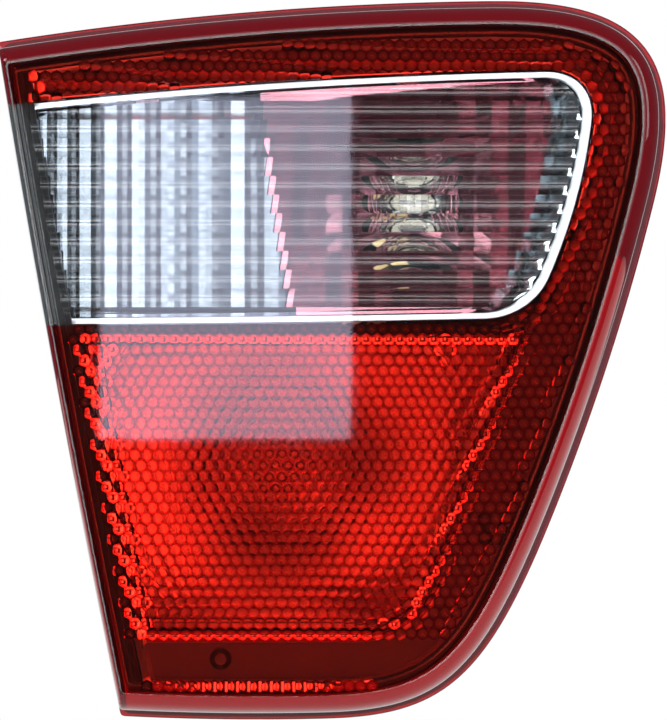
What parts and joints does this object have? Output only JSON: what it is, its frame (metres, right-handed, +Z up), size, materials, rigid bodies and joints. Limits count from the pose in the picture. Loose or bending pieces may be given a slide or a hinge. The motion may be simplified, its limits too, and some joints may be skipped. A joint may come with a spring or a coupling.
{
  "type": "tail light cluster",
  "caption": "Tail light cluster: red lens with moulded pillow optics round a clear reversing window, reflectors, bulbs and carrier in a black housing with gasket and fixing studs.",
  "frame": {"origin": "on the outside of the body panel, at the centre of the cut-out that the rear of the housing passes through", "axes": "+Y back into the car, square to the lens face; +Z up the lens; +X across the lens towards its rounded side"},
  "size_m": [0.18, 0.09, 0.1938],
  "materials": {
    "red_plastic": "clear red moulding, polished",
    "clear_plastic": "clear moulding, polished",
    "sealant": "matt black sealant",
    "black_plastic": "fine moulded grain",
    "bright_trim": "bright metallised",
    "reflector_silver": "bright metallised, fluted",
    "reflector_rose": "rose tinted metallising",
    "zinc_steel": "zinc plated",
    "bulb_glass": "clear glass",
    "cap_metal": "drawn brass, nickel washed",
    "filament_metal": "drawn wire",
    "carrier_plastic": "glass filled moulding",
    "black_rubber": "soft rubber",
    "track_brass": "stamped brass",
    "foam": "closed cell foam"
  },
  "bodies": {
    "root": {"red_lens": "red_plastic", "clear_lens": "clear_plastic", "lens_seal": "sealant", "housing": "black_plastic", "window_bezel": "bright_trim", "fluted_reflector": "reflector_silver", "reverse_bowl": "reflector_rose", "tail_reflector": "reflector_silver", "reflector_screws": "zinc_steel", "reverse_bulb_glass": "bulb_glass", "reverse_bulb_cap": "cap_metal", "reverse_bulb_filament": "filament_metal", "tail_bulb_glass": "bulb_glass", "tail_bulb_cap": "cap_metal", "tail_bulb_filament": "filament_metal", "bulb_carrier": "carrier_plastic", "carrier_seal": "black_rubber", "carrier_screws": "zinc_steel", "ground_track": "track_brass", "reverse_track": "track_brass", "tail_track": "track_brass", "socket_springs": "track_brass", "body_gasket": "foam", "stud_top": "zinc_steel", "stud_right": "zinc_steel", "stud_bottom": "zinc_steel", "vent_cap": "black_rubber"}
  },
  "joints": []
}
